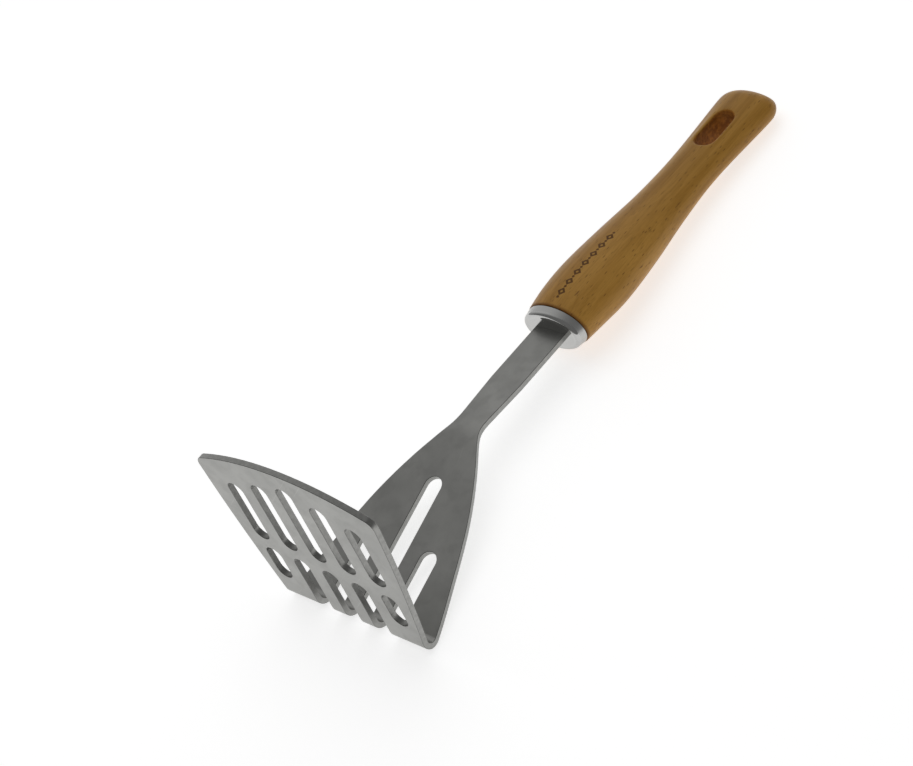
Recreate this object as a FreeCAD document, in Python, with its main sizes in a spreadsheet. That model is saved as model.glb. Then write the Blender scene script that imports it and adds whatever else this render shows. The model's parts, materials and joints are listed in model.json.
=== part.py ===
import FreeCAD, Part
# Slotted potato masher: one bent stainless sheet, an oval ferrule and a beech handle.
#
# The blade is drawn in its own frame: the mashing plate lies in the XY plane and points along -Y, the
# bend runs along X, and +Z is the side that the upright, the stem and the handle are on.
# The ferrule, the handle and the adhesive are drawn with their long axis along +Z, and the front face of
# the ferrule is at Z = 0.
# The finished tool lies on its back on a flat surface, with the plate standing up: it rests on the outside
# of the bend and on the back of the handle's end. Its origin is at the bottom centre of its box.
import math
import os
import Sketcher

SIZES = [
    ("pitch", 14.0, "distance from one slot to the next"),
    ("slot_width", 7.4, "width of every slot"),
    ("sheet", 2.3, "thickness of the stainless sheet"),
    ("plate_length", 73.6, "plate, from the start of the bend to the middle of its front edge"),
    ("front_bulge", 7.7, "how far the middle of the front edge is ahead of its corners"),
    ("front_half", 42.1, "half width of the plate across its front corners"),
    ("mid_half", 39.0, "half width of the plate halfway to its corners"),
    ("corner_radius", 4.2, "rounding of the plate's two front corners"),
    ("bend_half", 33.8, "half width of the sheet at the bend"),
    ("bend_radius", 3.0, "inner radius of the bend"),
    ("plate_angle", 73.0, "angle between the plate and the upright"),
    ("upright_length", 68.1, "flat length of the upright"),
    ("neck_radius", 25.0, "middle radius of the neck's turn"),
    ("neck_turn", 18.5, "how far the neck turns the stem back, in degrees"),
    ("stem_length", 49.4, "stem, from the neck's turn to the ferrule"),
    ("neck_half", 6.05, "half width of the stem where it is narrowest, at the neck"),
    ("stem_half", 7.0, "half width of the stem at the ferrule, and of the tang"),
    ("short_bottom", 8.3, "lower end of the outer slots of the lower row, from the bend"),
    ("lower_top", 24.1, "upper end of the lower row"),
    ("upper_bottom", 29.3, "lower end of the upper row"),
    ("upper_outer", 58.1, "upper end of the outer slots of the upper row"),
    ("upper_inner", 62.6, "upper end of the next two slots of the upper row"),
    ("upper_middle", 66.3, "upper end of the middle slot of the upper row"),
    ("back_outer", 26.9, "end of the two outer slots in the upright"),
    ("back_middle", 52.8, "end of the middle slot in the upright"),
    ("tang_length", 60.0, "tang inside the handle, from the ferrule's front face"),
    ("axis_offset", 0.1, "how far the ferrule's middle is from the middle of the stem"),
    ("cap_length", 4.4, "length of the ferrule"),
    ("cap_wall", 1.0, "wall of the ferrule's front face"),
    ("cap_front_a", 13.2, "half width of the ferrule's front face"),
    ("cap_front_b", 8.6, "half height of the ferrule's front face"),
    ("cap_back_a", 13.6, "half width of the ferrule's back edge"),
    ("cap_back_b", 8.9, "half height of the ferrule's back edge"),
    ("cap_round", 1.5, "rounding of the ferrule's front rim"),
    ("tenon_a", 12.4, "half width of the wooden tenon in the ferrule"),
    ("tenon_b", 7.8, "half height of the wooden tenon in the ferrule"),
    ("mortise_width", 16.0, "width of the mortise for the tang"),
    ("mortise_height", 4.5, "height of the mortise for the tang"),
    ("mortise_end", 62.0, "bottom of the mortise, from the ferrule's front face"),
    ("handle_end", 139.9, "end of the handle, from the ferrule's front face"),
    ("end_a", 13.1, "half width of the handle where the rounding at its end starts"),
    ("end_b", 7.0, "half height of the handle where the rounding at its end starts"),
    ("end_rise", 0.8, "how far the handle's end is above the stem's middle"),
    ("dome_length", 8.0, "length of the rounding at the handle's end"),
    ("hole_middle", 112.5, "middle of the hanging hole, from the ferrule's front face"),
    ("hole_length", 21.5, "length of the hanging hole"),
    ("hole_width", 9.0, "width of the hanging hole"),
    ("hole_round", 1.0, "rounding of the hanging hole's rims"),
]

# The upright's edge between the bend and the neck: half width at each height above the plate, the heights
# where the stem is narrowest and where it is full width again, and how the edge leans at both its ends.
FLANK = [(28.2, 23.5), (22.7, 41.8), (18.1, 53.2), (12.3, 64.7), (8.9, 70.6), (6.9, 74.6)]
FLANK_END = 81.0
STEM_FULL_WIDTH = 100.0
START_LEAN = -0.17
END_LEAN = 0.01

# The handle's oval sections. Each one fills four cells of the sheet, named after these words and its number.
STATION_WORDS = {
    "place": "distance from the ferrule's front face",
    "half_width": "half width",
    "half_height": "half height",
    "rise": "how far its middle is above the stem's middle",
}
STATIONS = [
    (4.4, 13.9, 9.2, 0.1),
    (14.0, 15.0, 10.1, 0.5),
    (28.0, 15.6, 10.8, 0.2),
    (50.0, 14.0, 9.8, 0.0),
    (72.0, 11.7, 8.0, 0.2),
    (95.0, 10.8, 7.0, 0.7),
]
DOME_STEPS = 6
CAP_STEPS = 4
# The share of the end's half width and half height that is left at the very tip.
DOME_KEEP_A = 0.50
DOME_KEEP_B = 0.10
# How far a cut runs past the sheet, the least volume that a cut takes away, and what counts as no length.
CLEAR = 5.0
LEAST_CUT = 0.1
NO_LENGTH = 0.01
# The search for the angle at which the tool lies on its back: the most that it leans, and how often the
# search is halved.
MOST_LEAN = 10.0
HALVINGS = 24

doc = FreeCAD.newDocument("SlottedMasher")


def vector(x, y, z=0.0):
    return FreeCAD.Vector(x, y, z)


def make_sheet():
    sheet = doc.addObject("Spreadsheet::Sheet", "Sizes")
    rows = list(SIZES)
    for number, station in enumerate(STATIONS, start=1):
        for (word, meaning), amount in zip(STATION_WORDS.items(), station):
            rows.append((f"{word}_{number}", amount, f"grip section {number}: {meaning}"))
    for row, (name, amount, meaning) in enumerate(rows, start=1):
        sheet.set(f"A{row}", meaning)
        sheet.set(f"B{row}", str(amount))
        sheet.setAlias(f"B{row}", name)
    doc.recompute()
    return sheet


def size(name):
    return float(sizes.get(name))


def value(expression):
    """What an expression of the sheet's sizes comes to."""
    return float(sizes.evalExpression(expression))


# ---------------------------------------------------------------- sketches and features

def new_body(name):
    body = doc.addObject("PartDesign::Body", name)
    body.Label = name
    return body


def new_sketch(body, name, role, offset=None):
    sketch = body.newObject("Sketcher::SketchObject", name)
    plane = [f for f in body.Origin.OriginFeatures if f.Role == role][0]
    sketch.AttachmentSupport = (plane, "")
    sketch.MapMode = "FlatFace"
    if offset is not None:
        sketch.AttachmentOffset = offset
    return sketch


def add_loop(sketch, curves):
    """Add curves that follow one another and join each end to the next start."""
    first = sketch.GeometryCount
    for curve in curves:
        sketch.addGeometry(curve, False)
    ends = [(c.StartPoint, c.EndPoint) for c in curves]
    count = len(curves)
    for i in range(count):
        j = (i + 1) % count
        here = 1 if ends[i][0].isEqual(ends[j][0], 1e-6) or ends[i][0].isEqual(ends[j][1], 1e-6) else 2
        there = 1 if ends[i][here - 1].isEqual(ends[j][0], 1e-6) else 2
        sketch.addConstraint(Sketcher.Constraint("Coincident", first + i, here, first + j, there))
    return first


def bind(sketch, constraint, expression):
    index = sketch.addConstraint(constraint)
    sketch.setExpression(f"Constraints[{index}]", expression)


def bind_point(sketch, geometry, point, x_expression, y_expression):
    """Fix one point of the sketch to two expressions, measured from the sketch's origin."""
    place = sketch.getPoint(geometry, point)
    rules = (("DistanceX", place.x, x_expression), ("DistanceY", place.y, y_expression))
    for kind, amount, expression in rules:
        if expression is not None:
            bind(sketch, Sketcher.Constraint(kind, -1, 1, geometry, point, amount), expression)


def arc(start, middle, end):
    """The arc through three points, stored anticlockwise as a sketch keeps it."""
    through = Part.Circle(start, middle, end)
    circle = Part.Circle(through.Center, vector(0, 0, 1), through.Radius)
    first, last = (start, end) if through.Axis.z > 0 else (end, start)
    return Part.ArcOfCircle(circle, circle.parameter(first), circle.parameter(last))


def polyline(points):
    return [Part.LineSegment(a, b) for a, b in zip(points, points[1:] + points[:1])]


def flipped(point):
    return vector(-point.x, point.y)


def mirrored(curves):
    """The same curves on the other side of the sketch's vertical axis."""
    twins = []
    for curve in curves:
        if isinstance(curve, Part.LineSegment):
            twins.append(Part.LineSegment(flipped(curve.StartPoint), flipped(curve.EndPoint)))
        elif isinstance(curve, Part.ArcOfCircle):
            middle = curve.value((curve.FirstParameter + curve.LastParameter) / 2)
            twins.append(arc(flipped(curve.StartPoint), flipped(middle), flipped(curve.EndPoint)))
        else:
            twin = curve.copy()
            for i, pole in enumerate(curve.getPoles(), start=1):
                twin.setPole(i, flipped(pole))
            twins.append(twin)
    return twins


def stadium(sketch, x, low, high, width):
    """A slot with two round ends, from the expressions of its middle line, its ends and its width."""
    r = value(width) / 2
    left, right = vector(-r, 0), vector(r, 0)
    bottom, top = vector(value(x), value(low) + r), vector(value(x), value(high) - r)
    curves = [
        Part.LineSegment(bottom + right, top + right),
        arc(top + right, top + vector(0, r), top + left),
        Part.LineSegment(top + left, bottom + left),
        arc(bottom + left, bottom - vector(0, r), bottom + right),
    ]
    first = add_loop(sketch, curves)
    bind(sketch, Sketcher.Constraint("Radius", first + 1, r), f"{width} / 2")
    bind_point(sketch, first + 1, 3, x, f"{high} - {width} / 2")
    bind_point(sketch, first + 3, 3, x, f"{low} + {width} / 2")


def open_slot(sketch, x, flat, round_end, width):
    """A slot with one flat end and one round end, which may point up or down.

    The flat end is a plain number, because it only has to run past the sheet.
    """
    r = value(width) / 2
    sign = 1 if value(round_end) > flat else -1
    left, right = vector(-r, 0), vector(r, 0)
    base, tip = vector(value(x), flat), vector(value(x), value(round_end) - sign * r)
    curves = [
        Part.LineSegment(base + right, tip + right),
        arc(tip + right, tip + vector(0, sign * r), tip + left),
        Part.LineSegment(tip + left, base + left),
        Part.LineSegment(base + left, base + right),
    ]
    first = add_loop(sketch, curves)
    bind(sketch, Sketcher.Constraint("Radius", first + 1, r), f"{width} / 2")
    turn = "-" if sign > 0 else "+"
    bind_point(sketch, first + 1, 3, x, f"{round_end} {turn} {width} / 2")


def rectangle(sketch, width, height):
    """A rectangle about the sketch's origin, from the expressions of its width and height."""
    w, h = value(width) / 2, value(height) / 2
    first = add_loop(sketch, polyline([vector(-w, -h), vector(w, -h), vector(w, h), vector(-w, h)]))
    bind_point(sketch, first, 1, f"-{width} / 2", f"-{height} / 2")
    bind_point(sketch, first + 2, 1, f"{width} / 2", f"{height} / 2")


def ellipse(sketch, a, b, rise):
    """An oval in four quarters, from the expressions of its half width, half height and rise."""
    curve = Part.Ellipse(vector(0, -value(rise)), value(a), value(b))
    quarter = math.pi / 2
    first = sketch.GeometryCount
    for i in range(4):
        sketch.addGeometry(Part.ArcOfEllipse(curve, i * quarter, (i + 1) * quarter), False)
    for i in range(4):
        sketch.addConstraint(Sketcher.Constraint("Coincident", first + i, 2, first + (i + 1) % 4, 1))
    bind_point(sketch, first, 1, a, f"-{rise}")
    bind_point(sketch, first + 2, 1, f"-{a}", f"-{rise}")
    bind_point(sketch, first + 1, 1, None, f"{b} - {rise}")
    bind_point(sketch, first + 3, 1, None, f"-{b} - {rise}")


def pad(body, sketch, name, length, both_ways=False):
    feature = body.newObject("PartDesign::Pad", name)
    feature.Profile = sketch
    feature.SideType = "Symmetric" if both_ways else "One side"
    feature.setExpression("Length", length)
    return feature


def pocket(body, sketch, name, length, both_ways=False, along_normal=False):
    """Cut the sketch out: length is an expression, or None to cut through everything."""
    feature = body.newObject("PartDesign::Pocket", name)
    feature.Profile = sketch
    feature.SideType = "Symmetric" if both_ways else "One side"
    feature.Reversed = along_normal
    if length is None:
        feature.Type = "ThroughAll"
    else:
        feature.setExpression("Length", length)
    return feature


def cut_volume(body, before, name):
    """Recompute, and stop if the newest cut took nothing away."""
    doc.recompute()
    after = body.Shape.Volume
    if not after < before - LEAST_CUT:
        raise RuntimeError(f"{name} cut nothing: {before:.2f} to {after:.2f}")
    return after


# ---------------------------------------------------------------- the bent sheet

def sheet_path(offset):
    """Corner and middle points of one surface of the bent sheet, in the (y, z) plane."""
    radius = size("bend_radius") + size("sheet") / 2
    turn = math.radians(180 - size("plate_angle"))
    neck = math.radians(size("neck_turn"))

    def along(angle):
        return vector(math.cos(angle), math.sin(angle))

    def inward(angle):
        return vector(-math.sin(angle), math.cos(angle))

    centre = vector(0, radius)
    bend_end = centre - inward(turn) * radius
    neck_start = bend_end + along(turn) * size("upright_length")
    neck_centre = neck_start - inward(turn) * size("neck_radius")
    neck_end = neck_centre + inward(turn - neck) * size("neck_radius")
    face = neck_end + along(turn - neck) * size("stem_length")
    tip = face + along(turn - neck) * size("tang_length")
    points = {
        "start": inward(0) * offset,
        "bend_middle": centre - inward(turn / 2) * (radius - offset),
        "bend_end": bend_end + inward(turn) * offset,
        "neck_start": neck_start + inward(turn) * offset,
        "neck_middle": neck_centre + inward(turn - neck / 2) * (size("neck_radius") + offset),
        "neck_end": neck_end + inward(turn - neck) * offset,
        "face": face + inward(turn - neck) * offset,
        "tip": tip + inward(turn - neck) * offset,
    }
    return points, turn, turn - neck


def strip_curves():
    """The closed outline of the sheet from the bend to the tang, seen from the side."""
    half = size("sheet") / 2
    curves = []
    for sign in (-1, 1):
        p, _, _ = sheet_path(sign * half)
        side = [
            arc(p["start"], p["bend_middle"], p["bend_end"]),
            Part.LineSegment(p["bend_end"], p["neck_start"]),
            arc(p["neck_start"], p["neck_middle"], p["neck_end"]),
            Part.LineSegment(p["neck_end"], p["tip"]),
        ]
        curves.append((side, p))
    outer, inner = curves
    across_tip = Part.LineSegment(outer[1]["tip"], inner[1]["tip"])
    across_start = Part.LineSegment(inner[1]["start"], outer[1]["start"])
    return outer[0] + [across_tip] + inner[0][::-1] + [across_start]


def corner_points():
    """Where the rounding of the plate's front corner leaves the side edge and the front edge."""
    half, length, bulge = size("front_half"), size("plate_length"), size("front_bulge")
    corner = vector(half, bulge - length)
    front_radius = (half ** 2 + bulge ** 2) / (2 * bulge)
    front_centre = vector(0, front_radius - length)
    side = arc(vector(size("bend_half"), 0), vector(size("mid_half"), corner.y / 2), corner)
    side_centre, side_radius = side.Center, side.Radius
    r = size("corner_radius")
    near, far = side_radius - r, front_radius - r
    gap = front_centre - side_centre
    d = gap.Length
    x = (near ** 2 - far ** 2 + d ** 2) / (2 * d)
    y = math.sqrt(near ** 2 - x ** 2)
    u = gap / d
    options = [side_centre + u * x + vector(-u.y, u.x) * (s * y) for s in (-1, 1)]
    middle = min(options, key=lambda q: (q - corner).Length)
    on_side = side_centre + (middle - side_centre).normalize() * side_radius
    on_front = front_centre + (middle - front_centre).normalize() * front_radius
    on_corner = middle + (corner - middle).normalize() * r
    start = vector(size("bend_half"), 0)
    on_edge = side_centre + ((start + on_side) / 2 - side_centre).normalize() * side_radius
    return start, on_edge, on_side, on_corner, on_front


def plate_curves():
    start, on_edge, on_side, on_corner, on_front = corner_points()
    right = [arc(start, on_edge, on_side), arc(on_side, on_corner, on_front)]
    left = mirrored(right)
    tip = vector(0, -size("plate_length"))
    front = arc(on_front, tip, vector(-on_front.x, on_front.y))
    bend_line = Part.LineSegment(vector(-start.x, 0), start)
    return right + [front] + left[::-1] + [bend_line]


def flank_curves(top):
    """The sheet beside the upright and the stem, which is cut away on the right."""
    half = size("sheet") / 2
    wide = size("bend_half") + CLEAR
    start = vector(size("bend_half"), half)
    points = [start] + [vector(x, z) for x, z in FLANK] + [vector(size("neck_half"), FLANK_END)]
    edge = Part.BSplineCurve()
    edge.interpolate(Points=points, InitialTangent=vector(START_LEAN, 1), FinalTangent=vector(END_LEAN, 1))
    lines = [
        vector(size("neck_half"), FLANK_END),
        vector(size("stem_half"), STEM_FULL_WIDTH),
        vector(size("stem_half"), top),
        vector(wide, top),
        vector(wide, half),
        start,
    ]
    return [edge] + [Part.LineSegment(a, b) for a, b in zip(lines, lines[1:])]


def upright_plane():
    """The middle plane of the upright: its origin is at the end of the bend, its y runs up the sheet."""
    points, turn, _ = sheet_path(0)
    end = points["bend_end"]
    return FreeCAD.Placement(vector(0, end.x, end.y), FreeCAD.Rotation(vector(1, 0, 0), math.degrees(turn)))


def make_blade():
    body = new_body("masher_blade")
    sheet = size("sheet")

    plate = new_sketch(body, "PlateOutline", "XY_Plane")
    first = add_loop(plate, plate_curves())
    bind(plate, Sketcher.Constraint("Radius", first + 1, size("corner_radius")), "Sizes.corner_radius")
    bend_line = plate.GeometryCount - 1
    bind_point(plate, bend_line, 1, "-Sizes.bend_half", None)
    bind_point(plate, bend_line, 2, "Sizes.bend_half", None)
    pad(body, plate, "Plate", "Sizes.sheet", both_ways=True)

    strip = new_sketch(body, "StripOutline", "YZ_Plane")
    first = add_loop(strip, strip_curves())
    for bend, extra in ((first, "+ Sizes.sheet"), (first + 8, "")):
        radius = strip.Geometry[bend].Radius
        bind(strip, Sketcher.Constraint("Radius", bend, radius), f"Sizes.bend_radius {extra}")
    pad(body, strip, "Strip", "2 * Sizes.bend_half", both_ways=True)
    doc.recompute()
    volume = body.Shape.Volume

    flanks = new_sketch(body, "Flanks", "XZ_Plane")
    top = sheet_path(sheet)[0]["tip"].y + CLEAR
    right = flank_curves(top)
    add_loop(flanks, right)
    add_loop(flanks, mirrored(right))
    pocket(body, flanks, "Flare", None, both_ways=True)
    volume = cut_volume(body, volume, "Flare")

    below = FreeCAD.Placement(vector(0, 0, -sheet), FreeCAD.Rotation())
    slots = new_sketch(body, "PlateSlots", "XY_Plane", below)
    past_bend = size("bend_radius") + sheet + CLEAR / 2
    tops = {0: "upper_middle", 1: "upper_inner", 2: "upper_outer"}
    for k in range(-2, 3):
        x = f"{k} * Sizes.pitch"
        stadium(slots, x, f"-Sizes.{tops[abs(k)]}", "-Sizes.upper_bottom", "Sizes.slot_width")
        if abs(k) == 2:
            stadium(slots, x, "-Sizes.lower_top", "-Sizes.short_bottom", "Sizes.slot_width")
        else:
            open_slot(slots, x, past_bend, "-Sizes.lower_top", "Sizes.slot_width")
    pocket(body, slots, "LowerCuts", "1.5 * Sizes.sheet + Sizes.bend_radius", along_normal=True)
    volume = cut_volume(body, volume, "LowerCuts")

    back = new_sketch(body, "UprightSlots", "XY_Plane", upright_plane())
    for k in (-1, 0, 1):
        end = "Sizes.back_middle" if k == 0 else "Sizes.back_outer"
        open_slot(back, f"{k} * Sizes.pitch", -sheet, end, "Sizes.slot_width")
    pocket(body, back, "UpperCuts", "2 * Sizes.sheet", both_ways=True)
    cut_volume(body, volume, "UpperCuts")
    return body


# ---------------------------------------------------------------- the ferrule, the handle and the adhesive

def level_sketch(body, name, height):
    """A sketch across the long axis, at the height that an expression gives."""
    place = FreeCAD.Placement(vector(0, 0, value(height)), FreeCAD.Rotation())
    sketch = new_sketch(body, name, "XY_Plane", place)
    sketch.setExpression("AttachmentOffset.Base.z", height)
    return sketch


def oval(body, name, height, a, b, rise="Sizes.axis_offset"):
    sketch = level_sketch(body, name, height)
    ellipse(sketch, a, b, rise)
    return sketch


def loft(body, name, sketches):
    feature = body.newObject("PartDesign::AdditiveLoft", name)
    feature.Profile = sketches[0]
    feature.Sections = sketches[1:]
    return feature


def rim_edges(shape, test):
    return [f"Edge{i}" for i, edge in enumerate(shape.Edges, start=1) if test(edge)]


def fillet(body, name, base, edges, radius):
    feature = body.newObject("PartDesign::Fillet", name)
    feature.Base = (base, edges)
    feature.setExpression("Radius", radius)
    return feature


def tang_outline(body, name):
    sketch = new_sketch(body, name, "XY_Plane")
    rectangle(sketch, "(2 * Sizes.stem_half)", "Sizes.sheet")
    return sketch


def cap_section(body, step, name="CapRimSection"):
    """One oval of the ferrule's rounded front rim, from its flat face to its side wall."""
    angle = math.pi / 2 * step / CAP_STEPS
    inward, forward = 1 - math.sin(angle), 1 - math.cos(angle)
    a, b = (f"(Sizes.cap_front_{side} - {inward:.6f} * Sizes.cap_round)" for side in "ab")
    return oval(body, f"{name}{step}", f"{forward:.6f} * Sizes.cap_round", a, b)


def make_ferrule():
    body = new_body("ferrule")
    rim = [cap_section(body, step) for step in range(CAP_STEPS + 1)]
    loft(body, "CapRim", rim)
    rim_end = cap_section(body, CAP_STEPS, "CapSide")
    back = oval(body, "CapBack", "Sizes.cap_length", "Sizes.cap_back_a", "Sizes.cap_back_b")
    loft(body, "Cap", [rim_end, back])
    doc.recompute()
    volume = body.Shape.Volume

    inside = oval(body, "Inside", "Sizes.cap_wall", "Sizes.tenon_a", "Sizes.tenon_b")
    pocket(body, inside, "Hollow", "Sizes.cap_length", along_normal=True)
    volume = cut_volume(body, volume, "Hollow")
    pocket(body, tang_outline(body, "StemSlot"), "StemOpening", "Sizes.cap_length", along_normal=True)
    cut_volume(body, volume, "StemOpening")
    return body


def grip_sections():
    """The handle's ovals as expressions: those of the sheet, in order, and then the rounded end.

    The oval shrinks along a quarter circle at the end, less in width than in height.
    """
    sections = [tuple(f"Sizes.{word}_{number}" for word in STATION_WORDS)
                for number in range(1, len(STATIONS) + 1)]
    for step in range(DOME_STEPS + 1):
        angle = math.pi / 2 * step / DOME_STEPS
        shrink = math.cos(angle)
        keep_a = DOME_KEEP_A + (1 - DOME_KEEP_A) * shrink
        keep_b = DOME_KEEP_B + (1 - DOME_KEEP_B) * shrink
        place = f"Sizes.handle_end - {1 - math.sin(angle):.6f} * Sizes.dome_length"
        a, b = f"{keep_a:.6f} * Sizes.end_a", f"{keep_b:.6f} * Sizes.end_b"
        sections.append((place, a, b, "Sizes.end_rise"))
    return sections


def is_wall_line(edge):
    """True for the straight edges that run through the hanging hole."""
    box = edge.BoundBox
    return box.XLength < NO_LENGTH and box.ZLength < NO_LENGTH


def make_handle():
    body = new_body("handle")
    grip = [oval(body, f"Section{i}", *section) for i, section in enumerate(grip_sections(), start=1)]
    loft(body, "Grip", grip)

    tenon = oval(body, "TenonOutline", "Sizes.cap_wall", "Sizes.tenon_a", "Sizes.tenon_b")
    pad(body, tenon, "Tenon", "Sizes.cap_length - Sizes.cap_wall")
    doc.recompute()
    volume = body.Shape.Volume

    hole = new_sketch(body, "HoleOutline", "XZ_Plane")
    middle, length = size("hole_middle"), size("hole_length")
    stadium(hole, "0 * Sizes.pitch", "Sizes.hole_middle - Sizes.hole_length / 2",
            "Sizes.hole_middle + Sizes.hole_length / 2", "Sizes.hole_width")
    hanging = pocket(body, hole, "HangingHole", None, both_ways=True)
    volume = cut_volume(body, volume, "HangingHole")

    half_hole = size("hole_width") / 2 + NO_LENGTH

    def on_rim(edge):
        box = edge.BoundBox
        inside = abs(box.XMin) < half_hole and abs(box.XMax) < half_hole
        return inside and box.ZMin > middle - length and box.YLength < size("tenon_b")

    rims = rim_edges(hanging.Shape, lambda edge: on_rim(edge) and not is_wall_line(edge))
    fillet(body, "HoleRims", hanging, rims, "Sizes.hole_round")
    doc.recompute()
    volume = body.Shape.Volume

    mortise = new_sketch(body, "MortiseOutline", "XY_Plane")
    rectangle(mortise, "Sizes.mortise_width", "Sizes.mortise_height")
    pocket(body, mortise, "Mortise", "Sizes.mortise_end", along_normal=True)
    cut_volume(body, volume, "Mortise")
    return body


def make_adhesive():
    body = new_body("tang_adhesive")
    outline = level_sketch(body, "FillOutline", "Sizes.cap_wall")
    rectangle(outline, "Sizes.mortise_width", "Sizes.mortise_height")
    pad(body, outline, "Fill", "Sizes.mortise_end - Sizes.cap_wall")
    doc.recompute()
    volume = body.Shape.Volume
    pocket(body, tang_outline(body, "TangOutline"), "TangSpace", "Sizes.tang_length", along_normal=True)
    cut_volume(body, volume, "TangSpace")
    return body


# ---------------------------------------------------------------- placing and writing

def turned(angle):
    return FreeCAD.Rotation(vector(1, 0, 0), angle)


def place_all(blade, on_handle, lean):
    """Turn the tool onto its back, and lean it by a few degrees about the bend."""
    rest = FreeCAD.Placement(vector(0, 0), turned(-90 - lean))
    points, _, stem_angle = sheet_path(0)
    face = points["face"]
    joint = FreeCAD.Placement(vector(0, face.x, face.y), turned(math.degrees(stem_angle) - 90))
    blade.Placement = rest
    for body in on_handle:
        body.Placement = rest.multiply(joint)


def lowest(body):
    return body.Shape.optimalBoundingBox(True).ZMin


def lie_on_back(blade, handle, on_handle):
    """Find the lean at which the bend and the handle's end touch the table together."""
    low, high = 0.0, MOST_LEAN
    for _ in range(HALVINGS):
        lean = (low + high) / 2
        place_all(blade, on_handle, lean)
        if lowest(handle) > lowest(blade):
            low = lean
        else:
            high = lean
    return lean


def centre_on_floor(bodies):
    box = FreeCAD.BoundBox()
    for body in bodies:
        box.add(body.Shape.optimalBoundingBox(True))
    shift = vector(-(box.XMin + box.XMax) / 2, -(box.YMin + box.YMax) / 2, -box.ZMin)
    for body in bodies:
        placement = body.Placement
        placement.Base = placement.Base + shift
        body.Placement = placement


def check(bodies):
    for thing in doc.Objects:
        if "Invalid" in thing.State or "Error" in thing.State:
            raise RuntimeError(f"{thing.Name} failed: {thing.State}")
    for body in bodies:
        if body.Shape.isNull() or not body.Shape.isValid() or len(body.Shape.Solids) != 1:
            raise RuntimeError(f"{body.Label} is not one valid solid")


def write(bodies):
    os.makedirs("parts", exist_ok=True)
    for body in bodies:
        body.Shape.exportStep(f"parts/{body.Label}.step")
        box = body.Shape.BoundBox
        sides = " x ".join(f"{side:.1f}" for side in (box.XLength, box.YLength, box.ZLength))
        print(f"{body.Label}: {body.Shape.Volume:.1f} mm3, {sides}")


sizes = make_sheet()
blade = make_blade()
ferrule = make_ferrule()
handle = make_handle()
adhesive = make_adhesive()
doc.recompute()
lean = lie_on_back(blade, handle, [ferrule, handle, adhesive])
print(f"lean {lean:.3f} degrees")
pieces = [blade, ferrule, handle, adhesive]
centre_on_floor(pieces)
doc.recompute()
check(pieces)
write(pieces)
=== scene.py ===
import json
from math import atan2, cos, pi, radians, sin, sqrt

import bmesh
import bpy
from bpy.props import FloatProperty, FloatVectorProperty, IntProperty, PointerProperty
from bpy.types import Operator, Panel, PropertyGroup
from mathutils import Matrix, Vector
from mathutils.bvhtree import BVHTree

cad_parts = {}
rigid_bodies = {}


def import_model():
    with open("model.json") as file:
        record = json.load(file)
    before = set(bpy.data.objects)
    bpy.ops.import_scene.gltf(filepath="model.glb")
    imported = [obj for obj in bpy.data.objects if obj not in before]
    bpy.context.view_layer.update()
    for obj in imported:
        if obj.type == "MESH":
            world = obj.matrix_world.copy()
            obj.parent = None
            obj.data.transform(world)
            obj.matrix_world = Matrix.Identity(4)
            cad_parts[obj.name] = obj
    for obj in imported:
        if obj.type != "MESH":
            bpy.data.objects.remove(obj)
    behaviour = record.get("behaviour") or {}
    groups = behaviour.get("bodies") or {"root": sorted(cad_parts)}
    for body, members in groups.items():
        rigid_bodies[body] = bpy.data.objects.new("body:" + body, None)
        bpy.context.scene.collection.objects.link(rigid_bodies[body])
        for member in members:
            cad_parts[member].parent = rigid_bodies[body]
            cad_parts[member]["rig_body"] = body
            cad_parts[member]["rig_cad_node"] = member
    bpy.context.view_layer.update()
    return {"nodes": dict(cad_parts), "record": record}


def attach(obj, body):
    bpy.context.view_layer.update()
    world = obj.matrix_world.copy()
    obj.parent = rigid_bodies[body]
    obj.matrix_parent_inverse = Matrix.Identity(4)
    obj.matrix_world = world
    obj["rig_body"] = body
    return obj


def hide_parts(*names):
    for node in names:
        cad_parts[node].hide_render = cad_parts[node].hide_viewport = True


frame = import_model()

bl_info = {
    "name": "Slotted Masher Finish",
    "version": (1, 0, 0),
    "blender": (4, 5, 0),
    "location": "View3D > Sidebar > Masher",
    "description": "Finishes a slotted potato masher: deburred steel, ferrule and beech handle",
    "category": "Object",
}

MM = 0.001
ROOT = "root"

# The handle's own frame: X across, Y down through its thickness, Z from the ferrule to its end.
# The hanging slot's mount gives it: its place, and the way straight up out of the slot.
HANGING_MOUNT = next(m for m in frame["record"]["mounts"] if m["name"] == "hanging_slot")
# The hole's middle is this far above the stem's middle, in millimetres.
HOLE_RISE = 0.8
UP = Vector(HANGING_MOUNT["axis"]).normalized()
ALONG = UP.cross(Vector((1, 0, 0)))
FRONT = min(v.co.dot(ALONG) for v in frame["nodes"]["ferrule"].data.vertices)
HOLE_PLACE = (Vector(HANGING_MOUNT["pos_m"]).dot(ALONG) - FRONT) / MM
FACE_CENTRE = Vector(HANGING_MOUNT["pos_m"]) - ALONG * HOLE_PLACE * MM - UP * HOLE_RISE * MM
HANDLE_FRAME = Matrix((
    (1, 0, 0, FACE_CENTRE.x),
    (0, -UP.y, ALONG.y, FACE_CENTRE.y),
    (0, -UP.z, ALONG.z, FACE_CENTRE.z),
    (0, 0, 0, 1),
))
HANDLE_TURN = HANDLE_FRAME.to_euler()

# The ferrule, in millimetres: half width and half height of its front face, its back edge and its inside.
CAP_FRONT = (13.2, 8.6)
CAP_BACK = (13.6, 8.9)
CAP_INSIDE = (12.4, 7.8)
CAP_LENGTH = 4.4
CAP_WALL = 1.0
CAP_RISE = 0.1
# How far the ferrule's flat face lies behind the crest of its rim, and the bead that leads up to the
# crest: each step's depth and how far inside the crest it is.
SUNK = 0.15
BEAD = ((SUNK, 1.3), (SUNK, 0.75), (0.04, 0.40))
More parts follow.
